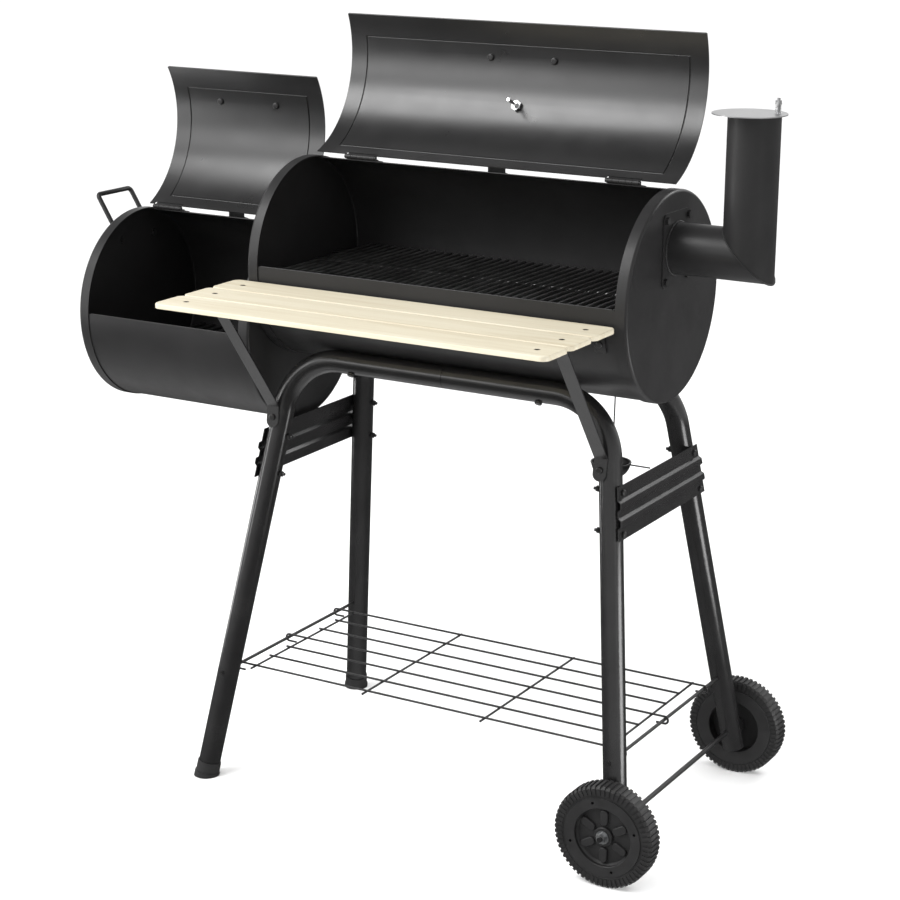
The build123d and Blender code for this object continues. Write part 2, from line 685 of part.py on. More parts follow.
# ---------------------------------------------------------------- wheels
def wheel(side_y):
    """Closed plastic wheel: lugged tread, dish with raised petals outside, recess inside."""
    out = WHEEL_OUT_Y * side_y
    inward = -side_y
    bore = AXLE_R + AXLE_RUNNING
    tread = WHEEL_R - 2.2
    side = WHEEL_WIDTH - 1.4  # depth of the inner sidewall ring
    boss = WEB_INNER + 8.0
    outline = [
        (bore, 3), (14, 3), (15, 4), (15, DISH_DEEP), (DISH_R - 3, DISH_DEEP), (DISH_R, 6),
        (DISH_R, 1), (DISH_R + 1, 0), (62.4, 0), (63, 1.8), (65, 1.8), (65.6, 1.4),
        (tread - 3, 1.4), (tread, 4.4), (tread, side - 3), (tread - 3, side), (65.6, side),
        (65, WHEEL_WIDTH), (RECESS_R + 1, WHEEL_WIDTH), (RECESS_R, WHEEL_WIDTH - 1),
        (RECESS_R, WEB_INNER), (13, WEB_INNER), (13, boss), (bore, boss),
    ]
    body = turned(outline, (AXLE_X, out, WHEEL_R), (0, inward, 0), (1, 0, 0))
    for i in range(4):
        angle = math.radians(18 + 90 * i)
        x = AXLE_X + 55 * math.cos(angle)
        z = WHEEL_R + 55 * math.sin(angle)
        body -= rod((x, out - inward, z), (x, out + inward * 8, z), 2.3)
    added = []
    for i in range(PETALS):
        added.append(Pos(AXLE_X, out, WHEEL_R) * Rot(0, 360.0 * i / PETALS, 0) * petal(inward))
    for i in range(LUGS):
        added.append(Pos(AXLE_X, out, WHEEL_R) * Rot(0, 360.0 * i / LUGS, 0) * lug(inward))
    rim = rod((AXLE_X, out, WHEEL_R), (AXLE_X, out + inward * WHEEL_WIDTH, WHEEL_R), WHEEL_R)
    return (body + added) & rim


def petal(inward):
    """Raised rounded bar on the floor of the wheel's dish."""
    plane = Plane(origin=(0, inward * (DISH_DEEP + 0.5), 0), x_dir=(0, 0, 1), z_dir=(0, -inward, 0))
    bar = extrude(plane * (Pos(30.0, 0) * SlotOverall(25.0, 13.0)), 5.5)
    top = bar.faces().sort_by(Axis((0, 0, 0), (0, -inward, 0)))[-1]
    return fillet(top.edges(), 2.0)


def lug(inward):
    """One bar of the tread that runs over both sidewalls."""
    inner = WHEEL_WIDTH - 0.3
    outline = [
        (67, 0.3), (77, 0.3), (WHEEL_R + 1, 4.5), (WHEEL_R + 1, inner - 4.2), (77, inner), (67, inner),
        (67, inner - 4), (74, inner - 8), (74, 8), (67, 4.3),
    ]
    plane = Plane(origin=(-2.2, 0, 0), x_dir=(0, 0, 1), z_dir=(1, 0, 0))
    section = make_face(Polyline(*[(radius, -inward * depth) for radius, depth in outline], close=True))
    return extrude(plane * section, 4.4)


def axle():
    return rod((AXLE_X, -AXLE_HALF, WHEEL_R), (AXLE_X, AXLE_HALF, WHEEL_R), AXLE_R)


def axle_nuts():
    """Washer and nut outside each hub."""
    parts = []
    for s in (-1, 1):
        hub = s * (WHEEL_OUT_Y - 3)
        washer = pipe((AXLE_X, hub + s * 0.3, WHEEL_R), (AXLE_X, hub + s * 1.9, WHEEL_R), 10.5, AXLE_R + 0.05)
        nut = hex_prism((AXLE_X, hub + s * 1.9, WHEEL_R), (0, s, 0), 13, 6.5)
        nut = drill(nut, (AXLE_X, hub, WHEEL_R), (0, 1, 0), AXLE_R + 0.05, 60)
        parts.append(washer + nut)
    return Compound(parts)


# ---------------------------------------------------------------- bottom shelf
def shelf_rod(side_x):
    """Round bar between a front and a back leg."""
    x = leg_x(side_x, ROD_Z)
    reach = leg_y(1, ROD_Z) + TUBE_R + 4
    return rod((x, -reach, ROD_Z), (x, reach, ROD_Z), ROD_R)


def shelf_hook(x, y, z, side):
    """End of a wire that bends down round a shelf rod and back under it."""
    section = Plane(origin=(x, y, z), z_dir=(side, 0, 0)) * Circle(SHELF_WIRE_R)
    bend = revolve(section, Axis((x, y, z - SHELF_EYE_R), (0, side, 0)), 180)
    low_z = z - 2 * SHELF_EYE_R
    return bend + rod((x, y, low_z), (x - side * SHELF_TAIL, y, low_z), SHELF_WIRE_R)


def wire_shelf():
    """Welded wire grid that hangs on the two shelf rods."""
    wire_z = ROD_Z + ROD_R + SHELF_WIRE_R + 0.35
    left_rod = leg_x(LEFT_FOOT_X, ROD_Z)
    right_rod = leg_x(RIGHT_FOOT_X, ROD_Z)
    grid = None
    for i in range(SHELF_WIRES):
        y = SHELF_MIDDLE_Y + SHELF_HALF_DEPTH * (2 * i / (SHELF_WIRES - 1) - 1)
        hooked = i in HOOKED_WIRES
        x0 = left_rod if hooked else SHELF_LEFT - 4
        x1 = right_rod if hooked else SHELF_RIGHT + 4
        wire = along_x(SHELF_WIRE_R, x0, x1, y, wire_z)
        if hooked:
            wire += shelf_hook(left_rod, y, wire_z, -1)
            wire += shelf_hook(right_rod, y, wire_z, 1)
        grid = wire if grid is None else grid + wire
    reach = SHELF_HALF_DEPTH + 10
    for i in range(4):
        x = SHELF_LEFT + (SHELF_RIGHT - SHELF_LEFT) * i / 3
        z = wire_z - 1.6 * SHELF_WIRE_R
        grid += rod((x, SHELF_MIDDLE_Y - reach, z), (x, SHELF_MIDDLE_Y + reach, z), SHELF_WIRE_R)
    return grid


# ---------------------------------------------------------------- front shelf
def slat(index):
    """One board of the front shelf, counted from the barrel."""
    y1 = SLAT_BACK_Y - index * (SLAT_DEPTH + SLAT_GAP)
    y0 = y1 - SLAT_DEPTH
    middle = ((SLAT_LEFT + SLAT_RIGHT) / 2, (y0 + y1) / 2)
    face = Pos(*middle) * RectangleRounded(SLAT_RIGHT - SLAT_LEFT, SLAT_DEPTH, 12)
    board = Pos(0, 0, SLAT_TOP - SLAT_THICK) * extrude(face, SLAT_THICK)
    board = fillet(board.edges().group_by(Axis.Z)[-1], 2.0)
    for x, y in screw_sites():
        if y0 < y < y1:
            board -= Pos(x, y, SLAT_TOP - 1.5) * Cylinder(4.6, 3.02)
            board = drill(board, (x, y, SLAT_TOP), (0, 0, 1), 2.3, 60)
    return board


def screw_sites():
    sites = []
    for x in SCREW_X:
        for i in range(SLATS):
            y1 = SLAT_BACK_Y - i * (SLAT_DEPTH + SLAT_GAP)
            sites.append((x, y1 - SLAT_DEPTH / 2))
    return sites


def shelf_screws():
    """Cross-head screws down through the boards and brackets, one for each board and bracket."""
    screws = []
    for x, y in screw_sites():
        head = Pos(x, y, SLAT_TOP - 1.5) * Cylinder(4.4, 2.4)
        shank = rod((x, y, SLAT_TOP - 2), (x, y, SLAT_TOP - SLAT_THICK - BRACKET_THICK - 4), 2.2)
        slot = Pos(x, y, SLAT_TOP - 0.4) * Box(6, 1.0, 1.2) + Pos(x, y, SLAT_TOP - 0.4) * Box(1.0, 6, 1.2)
        screws.append((head + shank) - slot)
    return Compound(screws)


def bracket_bolt_line(x):
    """Point on the barrel and outward direction of the bolt that holds a shelf bracket."""
    y, z = yz(BARREL_R, -17.0, MAIN_AXIS)
    oy, oz = yz(1.0, -17.0)
    return (x, y, z), (0, oy, oz)


def shelf_bracket(index):
    """Flat bar under the boards whose back end is curved to the barrel."""
    x = BRACKET_X[index]
    half = BRACKET_WIDTH / 2
    z1 = SLAT_TOP - SLAT_THICK - 0.1
    inner = BARREL_R + 0.2
    bend_angle = -math.degrees(math.asin((BARREL_Z - z1) / inner))
    foot = arc_sheet(inner, inner + BRACKET_THICK, -22.0, bend_angle, x - half, x + half, MAIN_AXIS)
    back_y = yz(inner, bend_angle)[0]
    front_y = FRONT_END + 8
    bar = Box(BRACKET_WIDTH, back_y - front_y, BRACKET_THICK)
    arm = Pos(x, (back_y + front_y) / 2, z1 - BRACKET_THICK / 2) * bar
    bracket = (foot + arm) - along_x(inner, x - 20, x + 20, 0, BARREL_Z)
    cap_edge = -BARREL_HALF + CAP_THICK + CAP_SKIRT + 0.4
    bracket -= along_x(inner + BRACKET_THICK + 0.2, -BARREL_HALF, cap_edge, 0, BARREL_Z)
    at, direction = bracket_bolt_line(BRACKET_BOLT_X[index])
    bracket = drill(bracket, at, direction, 2.7, 30)
    for sx, sy in screw_sites():
        if sx == SCREW_X[index]:
            bracket = drill(bracket, (sx, sy, z1), (0, 0, 1), 2.3, 20)
    return drill(bracket, strut_top(index), (0, 0, 1), 2.7, 20)


def bracket_bolts():
    bolts = []
    for x in BRACKET_BOLT_X:
        at, direction = bracket_bolt_line(x)
        head = Vector(*at) + Vector(*direction) * (BRACKET_THICK + 0.4)
        inward = (0, -direction[1], -direction[2])
        grip = BRACKET_THICK + SHEET + 0.8
        bolts.append(bolt(tuple(head), inward, grip, radius=2.5, round_head=True))
    return Compound(bolts)


def strut_top(index):
    """Where a strut's upper bolt passes through its flat top end."""
    z = SLAT_TOP - SLAT_THICK - BRACKET_THICK - 0.2
    return (BRACKET_X[index], STRUT_TOP_Y, z)


def strut(index):
    """Flat bar from the front of a leg up to a shelf bracket, bent flat at the top."""
    low_at = strut_bolt_site(index)
    top_at = strut_top(index)
    top = top_at[2] - 0.1
    face_y = low_at[1] - TUBE_R - 0.4
    lean = (leg_y(-1, 0) - leg_y(-1, TOP_TUBE_Z)) / -TOP_TUBE_Z
    low_z, bend_z = STRUT_BOLT_Z - 17, STRUT_BOLT_Z + 16
    path = [
        (face_y - lean * (STRUT_BOLT_Z - low_z), low_z),
        (face_y + lean * (bend_z - STRUT_BOLT_Z), bend_z),
        (STRUT_TOP_Y + 13.0, top),
        (STRUT_TOP_Y - 13.0, top),
    ]
    thick = BRACKET_THICK
    front = [(path[0][0] - thick, path[0][1]), (path[1][0] - thick - 0.2, path[1][1] + 1.0)]
    front += [(path[2][0] - thick * 0.2, path[2][1] - thick), (path[3][0], path[3][1] - thick)]
    outline = path + list(reversed(front))
    bar = on_yz(make_face(Polyline(*outline, close=True)), low_at[0] - STRUT_WIDTH / 2, STRUT_WIDTH)
    bar = fillet(bar.edges().filter_by(Axis.Y).group_by(Axis.Z)[0], STRUT_WIDTH / 2 - 0.3)
    side_lean = math.degrees(math.atan2(top_at[0] - low_at[0], top - low_at[2]))
    bar = bar.rotate(Axis((low_at[0], 0, low_at[2]), (0, 1, 0)), side_lean)
    bar -= Pos(top_at[0], STRUT_TOP_Y, top + 10) * Box(80, 80, 20)
    bar = drill(bar, (low_at[0], face_y, low_at[2]), (0, 1, 0), 2.7, 12)
    return drill(bar, top_at, (0, 0, 1), 2.7, 20)


def strut_bolts():
    """Bolts at both ends of the struts."""
    bolts = []
    for index in (0, 1):
        at = strut_bolt_site(index)
        head_y = at[1] - TUBE_R - BRACKET_THICK - 1.9
        grip = 2 * TUBE_R + BRACKET_THICK + 3.0
        bolts.append(bolt((at[0], head_y, at[2]), (0, 1, 0), grip, radius=2.5, round_head=True))
        top = strut_top(index)
        under = (top[0], top[1], top[2] - BRACKET_THICK - 0.6)
        stick_out = BRACKET_THICK
        bolts.append(bolt(under, (0, 0, 1), BRACKET_THICK, radius=2.5, stick_out=stick_out, nut=False))
    return Compound(bolts)


# ---------------------------------------------------------------- side handle and chimney
def side_handle():
    """Bent rod on the firebox's end, leaning out and up, with two bolted feet."""
    x0 = FIREBOX_LEFT
    foot_z = SIDE_HANDLE_BOLTS[0][1]
    half = SIDE_HANDLE_BOLTS[1][0]
    grip = (x0 - HANDLE_OUT, foot_z + HANDLE_UP)
    start = (x0 - 6.0, -half, foot_z + 2)
    path = FilletPolyline(
        start,
        (x0 - 11.0, -half, foot_z + 16.0),
        (grip[0], -half, grip[1]),
        (grip[0], half, grip[1]),
        (x0 - 11.0, half, foot_z + 16.0),
        (x0 - 6.0, half, foot_z + 2),
        radius=7,
    )
    direction = (Vector(x0 - 11.0, -half, foot_z + 16.0) - Vector(*start)).normalized()
    handle = sweep(Plane(origin=start, z_dir=direction) * Circle(HANDLE_ROD_R), path=path)
    for y, z in SIDE_HANDLE_BOLTS:
        foot = rod((x0 - 0.2, y, z), (x0 - 8.5, y, z), 9.0)
        handle += foot
    for y, z in SIDE_HANDLE_BOLTS:
        handle = drill(handle, (x0 - 3, y, z), (1, 0, 0), 3.0, 11)
    return handle


def side_handle_bolts():
    bolts = []
    for y, z in SIDE_HANDLE_BOLTS:
        bolts.append(bolt((FIREBOX_LEFT + CAP_THICK + 0.1, y, z), (-1, 0, 0), 5, nut=False, stick_out=1.5))
    return Compound(bolts)


def chimney_pipe():
    """Pipe out of the end cap, mitred into the upright stack, open at both ends."""
    start = (BARREL_HALF + 0.3, 0, PIPE_Z)
    corner = (PIPE_X, 0, PIPE_Z)
    end = (PIPE_X, 0, PIPE_TOP)
    solids = []
    for radius in (PIPE_R, PIPE_R - PIPE_WALL):
        level = rod(start, (PIPE_X + 60, 0, PIPE_Z), radius)
        upright = rod((PIPE_X, 0, PIPE_Z - 60), end, radius)
        half_space = Pos(*corner) * Rot(0, -45, 0) * Pos(-200, 0, 0) * Box(400, 400, 900)
        solids.append((level & half_space) + (upright - half_space))
    return solids[0] - solids[1]


def chimney_flange():
    """Square plate with rounded corners round the pipe, bolted to the end cap."""
    face = RectangleRounded(96, 112, 12)
    plane = Plane(origin=(BARREL_HALF + 0.1, 0, PIPE_Z), x_dir=(0, 1, 0), z_dir=(1, 0, 0))
    plate = extrude(plane * face, 2.0)
    plate = drill(plate, (BARREL_HALF, 0, PIPE_Z), (1, 0, 0), PIPE_R + 0.1, 20)
    for y, z in FLANGE_BOLTS:
        plate = drill(plate, (BARREL_HALF, y, z), (1, 0, 0), 3.0, 20)
    return plate


def chimney_bolts():
    return Compound([bolt((BARREL_HALF + 2.2, y, z), (-1, 0, 0), 4.0) for y, z in FLANGE_BOLTS])


def damper():
    """Lid disc of the stack that turns about an off-centre bolt."""
    x, y = DAMPER_CENTRE
    disc = rod((x, y, PIPE_TOP + 0.4), (x, y, PIPE_TOP + 1.9), DAMPER_R)
    return drill(disc, (PIVOT[0], PIVOT[1], PIPE_TOP), (0, 0, 1), PIVOT_R + 0.05, 20)


def damper_tab():
    """Tab inside the top of the stack that carries the damper's bolt."""
    plate = Pos(PIVOT[0], PIVOT[1], PIPE_TOP - 9) * Box(24, 16, 2)
    inside = rod((PIPE_X, 0, PIPE_TOP - 20), (PIPE_X, 0, PIPE_TOP), PIPE_R - PIPE_WALL - 0.1)
    return drill(plate & inside, (PIVOT[0], PIVOT[1], PIPE_TOP - 9), (0, 0, 1), PIVOT_R + 0.1, 20)


def damper_bolt():
    """Upright bolt with a spring, washer and nut above the damper."""
    x, y = PIVOT
    head = hex_prism((x, y, PIPE_TOP - 10.2), (0, 0, -1), 8.5, 3.5)
    shank = rod((x, y, PIPE_TOP - 10.3), (x, y, PIPE_TOP + 24), PIVOT_R)
    washer = rod((x, y, PIPE_TOP + 15.0), (x, y, PIPE_TOP + 16.2), 5.2)
    nut = hex_prism((x, y, PIPE_TOP + 16.2), (0, 0, 1), 8.5, 4.5)
    return head + shank + washer + nut


def damper_spring():
    """Coil spring between the damper and the washer."""
    x, y = PIVOT
    wire_r = 0.7
    base = PIPE_TOP + 3.0
    path = Helix(pitch=2.7, height=10.8, radius=3.9)
    section = Plane(origin=path @ 0, z_dir=path % 0) * Circle(wire_r)
    return Pos(x, y, base) * sweep(section, path=path)


# ---------------------------------------------------------------- grates and drip cup
def wire_grate(x0, x1, half_y, z, step, wire_r, frame_r):
    """Rectangular frame with cross bars along Y and one stiffener along X."""
    frame = None
    for y in (-half_y, half_y):
        side = along_x(frame_r, x0, x1, y, z)
        frame = side if frame is None else frame + side
    for x in (x0, x1):
        frame += rod((x, -half_y - frame_r, z), (x, half_y + frame_r, z), frame_r)
    frame += along_x(frame_r, x0, x1, 0, z - frame_r)
    count = int((x1 - x0) / step)
    bars = []
    for i in range(1, count):
        x = x0 + (x1 - x0) * i / count
        bars.append(rod((x, -half_y, z + 0.6), (x, half_y, z + 0.6), wire_r))
    return frame + bars


def ledges(sites, z):
    """Small angle tabs on the inside of the end caps."""
    tabs = []
    for x, outward, y, axis_z in sites:
        inner = x - outward * (CAP_THICK + 0.2)
        shelf = Pos(inner - outward * 12.5, y, z) * Box(25, 26, 2)
        upright = Pos(inner - outward * 1, y, z - 9) * Box(2, 26, 20)
        tabs.append(shelf + upright)
    return tabs


def grate_ledges():
    tabs = []
    for z, y in ((GRATE_Z - 4.3, 95.0), (COAL_GRATE_Z - 4.3, 80.0)):
        for x, outward in ((-BARREL_HALF, -1), (BARREL_HALF, 1)):
            tabs += ledges([(x, outward, s * y, BARREL_Z) for s in (-1, 1)], z)
    return Compound(tabs)


def firebox_ledges():
    tabs = []
    for x, outward in ((FIREBOX_LEFT, -1), (FIREBOX_RIGHT, 1)):
        tabs += ledges([(x, outward, s * 90.0, FIREBOX_Z) for s in (-1, 1)], FIREBOX_GRATE_Z - 4.3)
    return Compound(tabs)


def cup_profile(rim_r, low_z, side_r):
    """Arc of the bowl's section from its middle to the rim."""
    return ThreePointArc((0, low_z), (side_r, low_z + 5.0), (rim_r, CUP_RIM_Z))


def drip_cup():
    """Shallow round bowl with a rolled rim, a wire bail and a short wire handle."""
    z1, z0 = CUP_RIM_Z, CUP_RIM_Z - CUP_DEEP
    wall = 0.9
    outer = cup_profile(CUP_R, z0, 20.0)
    inner = cup_profile(CUP_R - wall, z0 + wall, 19.3)
    section = make_face([outer, Line(outer @ 1, inner @ 1), inner, Line(inner @ 0, outer @ 0)])
    face = Plane(origin=(CUP_X, 0, 0), x_dir=(1, 0, 0), z_dir=(0, -1, 0)) * section
    cup = revolve(face, Axis((CUP_X, 0, 0), (0, 0, 1)), 360)
    cup += Pos(CUP_X, 0, z1) * Torus(CUP_R - 0.4, 1.4)
    cup += rod((CUP_X + CUP_R, 0, z1), (CUP_X + CUP_R + 36, 0, z1), 1.2)
    side_y = CUP_R - 0.3
    bail = FilletPolyline(
        (CUP_X, -side_y, z1), (CUP_X, -side_y, z1 + 8), (CUP_X, -7, BAIL_Z),
        (CUP_X, 7, BAIL_Z), (CUP_X, side_y, z1 + 8), (CUP_X, side_y, z1), radius=5,
    )
    cup += sweep(Plane(origin=(CUP_X, -side_y, z1), z_dir=(0, 0, 1)) * Circle(1.0), path=bail)
    return cup


def cup_hook():
    """Long wire from the drain eyelet down to a curl that the cup's bail hangs in."""
    wire_r = 1.1
    curl_r = 3.4
    top_z = BARREL_Z - BARREL_R + 4.6 + wire_r + 0.3
    start_x = CUP_X + curl_r
    cross = along_x(wire_r, DRAIN_X - 9, DRAIN_X + 9, 0, top_z)
    drop = rod((DRAIN_X, 0, top_z), (start_x, 0, HOOK_Z), wire_r)
    section = Plane(origin=(start_x, 0, HOOK_Z), z_dir=(0, 0, -1)) * Circle(wire_r)
    curl = revolve(section, Axis((CUP_X, 0, HOOK_Z), (0, 1, 0)), 215)
    return cross + drop + curl + Pos(start_x, 0, HOOK_Z) * Sphere(wire_r)


# ---------------------------------------------------------------- all the parts
def joined(*groups):
    """One part made of several loose pieces."""
    solids = []
    for group in groups:
        solids += group.solids()
    return Compound(solids)


def fixed_parts():
    """Everything that stands still, apart from the grill's frame."""
    return {
        "main_body": main_body(),
        "main_cap_left": main_cap_left(),
        "main_cap_right": main_cap_right(),
        "firebox_body": firebox_body(),
        "firebox_cap_left": firebox_cap_left(),
        "firebox_cap_right": firebox_cap_right(),
        "end_bolts": joined(joint_bolts(), chimney_bolts(), side_handle_bolts()),
        "drain_spout": drain_spout(),
        "hinge_leaves": joined(
            *[hinge_leaf(x, MAIN_AXIS, False) for x in MAIN_HINGES],
            *[hinge_leaf(x, FIREBOX_AXIS, False) for x in FIREBOX_HINGES],
        ),
        "hinge_pins": joined(hinge_pins(MAIN_HINGES, MAIN_AXIS), hinge_pins(FIREBOX_HINGES, FIREBOX_AXIS)),
        "lid_stops": joined(
            lid_stop(0, MAIN_AXIS, MAIN_OPEN), lid_stop(FIREBOX_STOP_X, FIREBOX_AXIS, FIREBOX_OPEN)
        ),
        "side_handle": side_handle(),
        "air_shutter_bolt": shutter_bolt(),
        "chimney_pipe": chimney_pipe(),
        "chimney_flange": chimney_flange(),
        "damper_pivot": joined(damper_tab(), damper_bolt()),
        "damper_spring": damper_spring(),
        "grate_ledges": joined(grate_ledges(), firebox_ledges()),
        "drip_cup_hook": cup_hook(),
    }


def frame_parts():
    """Legs, braces, wheels' axle and both shelves."""
    return {
        "frame_front_left": bent_tube(LEFT_FOOT_X, -1, 6.5),
        "frame_front_right": bent_tube(RIGHT_FOOT_X, -1, 50),
        "frame_back_left": bent_tube(LEFT_FOOT_X, 1, 6.5),
        "frame_back_right": bent_tube(RIGHT_FOOT_X, 1, 50),
        "frame_sleeves": joined(frame_sleeve(-1), frame_sleeve(1)),
        "frame_bolts": joined(frame_bolts(), bracket_bolts()),
        "foot_front": foot_cap(-1),
        "foot_back": foot_cap(1),
        "brace_left": brace(LEFT_FOOT_X),
        "brace_right": brace(RIGHT_FOOT_X),
        "brace_bolts": joined(brace_bolts(), strut_bolts()),
        "axle": axle(),
        "axle_nuts": axle_nuts(),
        "shelf_rods": joined(shelf_rod(LEFT_FOOT_X), shelf_rod(RIGHT_FOOT_X)),
        "wire_shelf": wire_shelf(),
        "slat_back": slat(0),
        "slat_middle": slat(1),
        "slat_front": slat(2),
        "slat_screws": shelf_screws(),
        "shelf_brackets": joined(shelf_bracket(0), shelf_bracket(1)),
        "struts": joined(strut(0), strut(1)),
    }


def lid_group(name, axis, middle_x, hinges, open_angle, closed_lid):
    """A lid and the pieces that ride on it, turned to where it rests open."""
    group = {
        name: closed_lid,
        name + "_handle": lid_handle(middle_x, axis, 9.0),
        name + "_screws": lid_handle_screws(middle_x, axis),
        name + "_leaves": joined(*[hinge_leaf(x, axis, True) for x in hinges]),
    }
    if name == "main_lid":
        group["thermometer"] = thermometer()
        group["thermometer_dial"] = thermometer_dial()
        group["thermometer_nut"] = thermometer_nut()
    return {key: rotated_open(part, axis, open_angle) for key, part in group.items()}


def moving_parts():
    """Lids, damper, shutter, wheels, and the pieces that lift out."""
    parts = {
        "damper": damper(),
        "air_shutter": air_shutter(),
        "wheel_front": wheel(-1),
        "wheel_back": wheel(1),
        "cooking_grate": wire_grate(-310, 310, 147.0, GRATE_Z, 15.5, 2.6, 3.0),
        "coal_grate": wire_grate(-308, 308, 112.0, COAL_GRATE_Z, 22.0, 3.0, 3.0),
        "firebox_grate": wire_grate(-655, -357, 128.0, FIREBOX_GRATE_Z, 20.0, 3.0, 3.0),
        "drip_cup": drip_cup(),
    }
    parts.update(lid_group("main_lid", MAIN_AXIS, 0, MAIN_HINGES, MAIN_OPEN, main_lid_closed()))
    middle = sum(FIREBOX_LID) / 2
    firebox = firebox_lid_closed()
    parts.update(lid_group("firebox_lid", FIREBOX_AXIS, middle, FIREBOX_HINGES, FIREBOX_OPEN, firebox))
    return parts


os.makedirs("parts", exist_ok=True)
for part_name, part in {**fixed_parts(), **frame_parts(), **moving_parts()}.items():
    export_step(Pos(SHIFT_X, SHIFT_Y, 0) * part, f"parts/{part_name}.step")
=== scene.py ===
"""Looks of the barrel charcoal grill: finishes, small added pieces, light, floor and camera.

Metres, in the same frame as the CAD model: +Z up, +X towards the chimney, -Y to the front.
"""

import json
import math

import bmesh
import bpy
from mathutils import Matrix, Vector


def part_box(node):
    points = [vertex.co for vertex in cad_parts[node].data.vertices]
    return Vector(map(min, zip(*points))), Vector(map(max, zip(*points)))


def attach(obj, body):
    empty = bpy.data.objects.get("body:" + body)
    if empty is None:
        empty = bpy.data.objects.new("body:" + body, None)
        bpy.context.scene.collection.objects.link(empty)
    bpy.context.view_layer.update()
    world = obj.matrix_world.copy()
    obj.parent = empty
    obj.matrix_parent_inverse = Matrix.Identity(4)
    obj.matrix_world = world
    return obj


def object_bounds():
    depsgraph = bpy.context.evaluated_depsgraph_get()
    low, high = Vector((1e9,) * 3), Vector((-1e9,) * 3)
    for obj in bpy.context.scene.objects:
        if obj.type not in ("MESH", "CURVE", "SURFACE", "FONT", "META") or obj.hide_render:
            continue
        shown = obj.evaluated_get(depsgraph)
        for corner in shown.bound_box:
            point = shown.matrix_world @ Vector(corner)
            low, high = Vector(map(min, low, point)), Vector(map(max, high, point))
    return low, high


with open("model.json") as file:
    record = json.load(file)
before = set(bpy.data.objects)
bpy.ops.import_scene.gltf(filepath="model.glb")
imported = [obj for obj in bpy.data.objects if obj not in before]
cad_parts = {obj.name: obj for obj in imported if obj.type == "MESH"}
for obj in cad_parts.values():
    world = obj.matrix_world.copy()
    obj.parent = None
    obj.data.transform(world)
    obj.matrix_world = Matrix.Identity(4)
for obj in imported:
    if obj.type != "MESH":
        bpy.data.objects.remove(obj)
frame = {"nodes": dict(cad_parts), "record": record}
cad_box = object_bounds()
NODES = frame["nodes"]
MM = 0.001


# ---------------------------------------------------------------- node helpers
class Shader:
    """A material's node tree with short ways to add the usual nodes."""

    def __init__(self, name):
        self.material = bpy.data.materials.new(name)
        self.material.use_nodes = True
        self.tree = self.material.node_tree
        self.bsdf = self.tree.nodes["Principled BSDF"]
        self.coords = self.tree.nodes.new("ShaderNodeTexCoord").outputs["Object"]

    def link(self, a, b):
        self.tree.links.new(a, b)

    def set(self, **values):
        """Values on the shader's own sockets, with _ for the spaces in their names."""
        for key, value in values.items():
            self.bsdf.inputs[key.replace("_", " ")].default_value = value

    def stretched(self, scale):
        """Object coordinates scaled along each axis."""
        node = self.tree.nodes.new("ShaderNodeMapping")
        node.inputs["Scale"].default_value = scale
        self.link(self.coords, node.inputs["Vector"])
        return node.outputs["Vector"]

    def noise(self, scale, detail=3.0, rough=0.5, coords=None, distortion=0.0):
        node = self.tree.nodes.new("ShaderNodeTexNoise")
        node.inputs["Scale"].default_value = scale
        node.inputs["Detail"].default_value = detail
        node.inputs["Roughness"].default_value = rough
        node.inputs["Distortion"].default_value = distortion
        self.link(coords or self.coords, node.inputs["Vector"])
        return node.outputs["Fac"]

    def cells(self, scale):
        """Distance from the middle of each small random cell."""
        node = self.tree.nodes.new("ShaderNodeTexVoronoi")
        node.inputs["Scale"].default_value = scale
        self.link(self.coords, node.inputs["Vector"])
        return node.outputs["Distance"]

    def spread(self, value, low, high, from_low=0.0, from_high=1.0):
        """Map a 0-1 texture to a range."""
        node = self.tree.nodes.new("ShaderNodeMapRange")
        node.inputs["From Min"].default_value = from_low
        node.inputs["From Max"].default_value = from_high
        node.inputs["To Min"].default_value = low
        node.inputs["To Max"].default_value = high
        self.link(value, node.inputs["Value"])
        return node.outputs["Result"]

    def ramp(self, value, *stops):
        """Colours at positions along a 0-1 value."""
        node = self.tree.nodes.new("ShaderNodeValToRGB")
        ramp = node.color_ramp
        while len(ramp.elements) < len(stops):
            ramp.elements.new(0.5)
        for element, (position, colour) in zip(ramp.elements, stops):
            element.position = position
            element.color = (*colour, 1)
        self.link(value, node.inputs["Fac"])
        return node.outputs["Color"]

    def mix(self, factor, a, b):
        """Mix of two colours; each is a socket or a colour."""
        node = self.tree.nodes.new("ShaderNodeMix")
        node.data_type = "RGBA"
        for socket, value in ((node.inputs[0], factor), (node.inputs[6], a), (node.inputs[7], b)):
            if hasattr(value, "links"):
                self.link(value, socket)
            elif isinstance(value, tuple):
                socket.default_value = (*value, 1)
            else:
                socket.default_value = value
        return node.outputs[2]

    def math(self, operation, a, b=0.0):
        node = self.tree.nodes.new("ShaderNodeMath")
        node.operation = operation
        for socket, value in zip(node.inputs, (a, b)):
            if hasattr(value, "links"):
                self.link(value, socket)
            else:
                socket.default_value = value
        return node.outputs[0]

    def bump(self, height, distance, strength=1.0):
        """Bump on top of any earlier bump; distance in metres."""
        node = self.tree.nodes.new("ShaderNodeBump")
        node.inputs["Distance"].default_value = distance
        node.inputs["Strength"].default_value = strength
        self.link(height, node.inputs["Height"])
        normal = self.bsdf.inputs["Normal"]
        if normal.is_linked:
            self.link(normal.links[0].from_socket, node.inputs["Normal"])
        self.link(node.outputs["Normal"], normal)

    def colour(self, socket):
        self.link(socket, self.bsdf.inputs["Base Color"])

    def rough(self, socket):
        self.link(socket, self.bsdf.inputs["Roughness"])


# ---------------------------------------------------------------- finishes
GRAIN_DEPTH = 0.06 * MM


